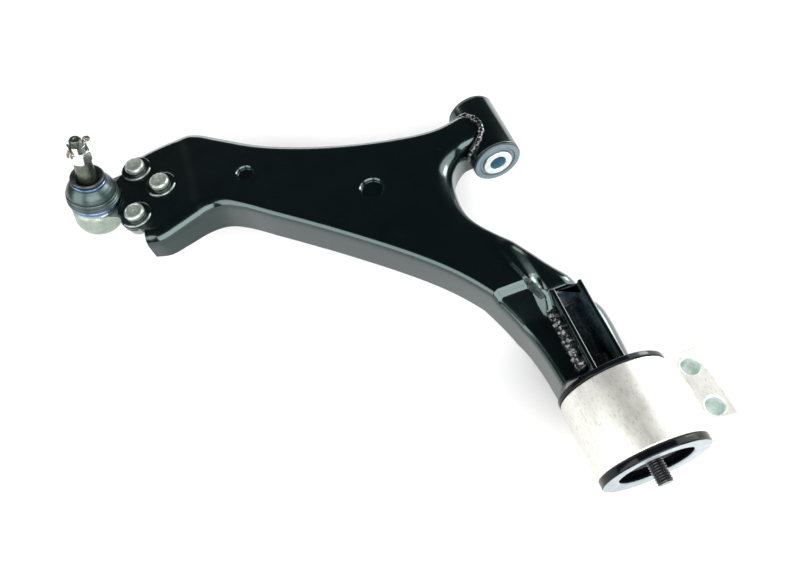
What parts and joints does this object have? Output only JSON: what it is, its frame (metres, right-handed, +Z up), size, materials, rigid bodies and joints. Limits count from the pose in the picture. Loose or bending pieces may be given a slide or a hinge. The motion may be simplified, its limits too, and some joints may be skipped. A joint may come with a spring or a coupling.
{
  "type": "suspension control arm",
  "caption": "L-shaped pressed-steel lower control arm with riveted ball joint, welded front bush and rear pin bush in a bolted aluminium housing.",
  "frame": {"origin": "middle of the bounding box in X and Y, at its lowest level in Z", "axes": "+X inboard towards the middle of the car, +Y along the car away from the rear bush, +Z up; both bushes turn about lines along Y and the ball stud leans 15.5 degrees from +Z towards +X"},
  "size_m": [0.4252, 0.438, 0.1308],
  "materials": {
    "black_coat": "gloss black electrophoretic coat",
    "can_steel": "phosphated steel",
    "front_rubber": "dark grey moulded rubber with a cool sheen",
    "sleeve_zinc": "bright zinc plated, machined end faces",
    "pin_steel": "black phosphated steel",
    "can_black": "gloss black",
    "rear_rubber": "matte black moulded rubber",
    "cast_aluminium": "bright cast aluminium, faintly mottled",
    "forged_zinc": "satin plated steel",
    "seat_plastic": "natural acetal",
    "stud_steel": "machined steel",
    "boot_rubber": "glossy dark grey rubber",
    "ring_steel": "blue-tinted plated wire ring",
    "nut_zinc": "bright zinc plated",
    "pin_wire": "plain steel wire",
    "rivet_steel": "satin plated steel"
  },
  "bodies": {
    "arm": {"arm_shell": "black_coat", "front_bush_tube": "black_coat", "front_bush_can": "can_steel", "front_bush_rubber": "front_rubber", "rear_pin_cradle": "black_coat", "rear_pin": "pin_steel", "rear_bush_sleeve": "can_steel", "rear_nut": "pin_steel", "ball_housing": "forged_zinc", "ball_end_cap": "forged_zinc", "boot_lower": "boot_rubber", "boot_lower_ring": "ring_steel", "rivet_1": "rivet_steel", "rivet_2": "rivet_steel", "rivet_3": "rivet_steel"},
    "front_sleeve": {"front_bush_sleeve": "sleeve_zinc"},
    "rear_mount": {"rear_housing": "cast_aluminium", "rear_bush_can": "can_black", "rear_bush_front_flange": "can_black", "rear_bush_rubber": "rear_rubber"},
    "seat": {"ball_seat": "seat_plastic", "boot_upper": "boot_rubber"},
    "collar": {"boot_upper_ring": "ring_steel"},
    "stud": {"ball_stud": "stud_steel", "castle_nut": "nut_zinc", "split_pin": "pin_wire"}
  },
  "joints": [
    {"name": "front_bush_twist", "type": "hinge", "parent": "arm", "child": "front_sleeve", "pos_m": [0.15856, 0.10783, 0.0443], "axis": [0, 1, 0], "range_deg": [-20, 20], "stiffness_Nm_per_rad": 20},
    {"name": "rear_bush_twist", "type": "hinge", "parent": "arm", "child": "rear_mount", "pos_m": [0.15296, -0.17397, 0.0407], "axis": [0, 1, 0], "range_deg": [-20, 20], "stiffness_Nm_per_rad": 60},
    {"name": "ball_swing_side", "type": "hinge", "parent": "arm", "child": "seat", "pos_m": [-0.19021, 0.17603, 0.04777], "axis": [0, 1, 0], "range_deg": [-15, 15], "deforming": ["boot_lower"]},
    {"name": "ball_swing_fore", "type": "hinge", "parent": "seat", "child": "collar", "pos_m": [-0.19021, 0.17603, 0.04777], "axis": [0.9636, 0, -0.2672], "range_deg": [-15, 15], "deforming": ["boot_upper"]},
    {"name": "ball_spin", "type": "hinge", "parent": "collar", "child": "stud", "pos_m": [-0.19021, 0.17603, 0.04777], "axis": [0.2672, 0, 0.9636], "continuous": true}
  ]
}
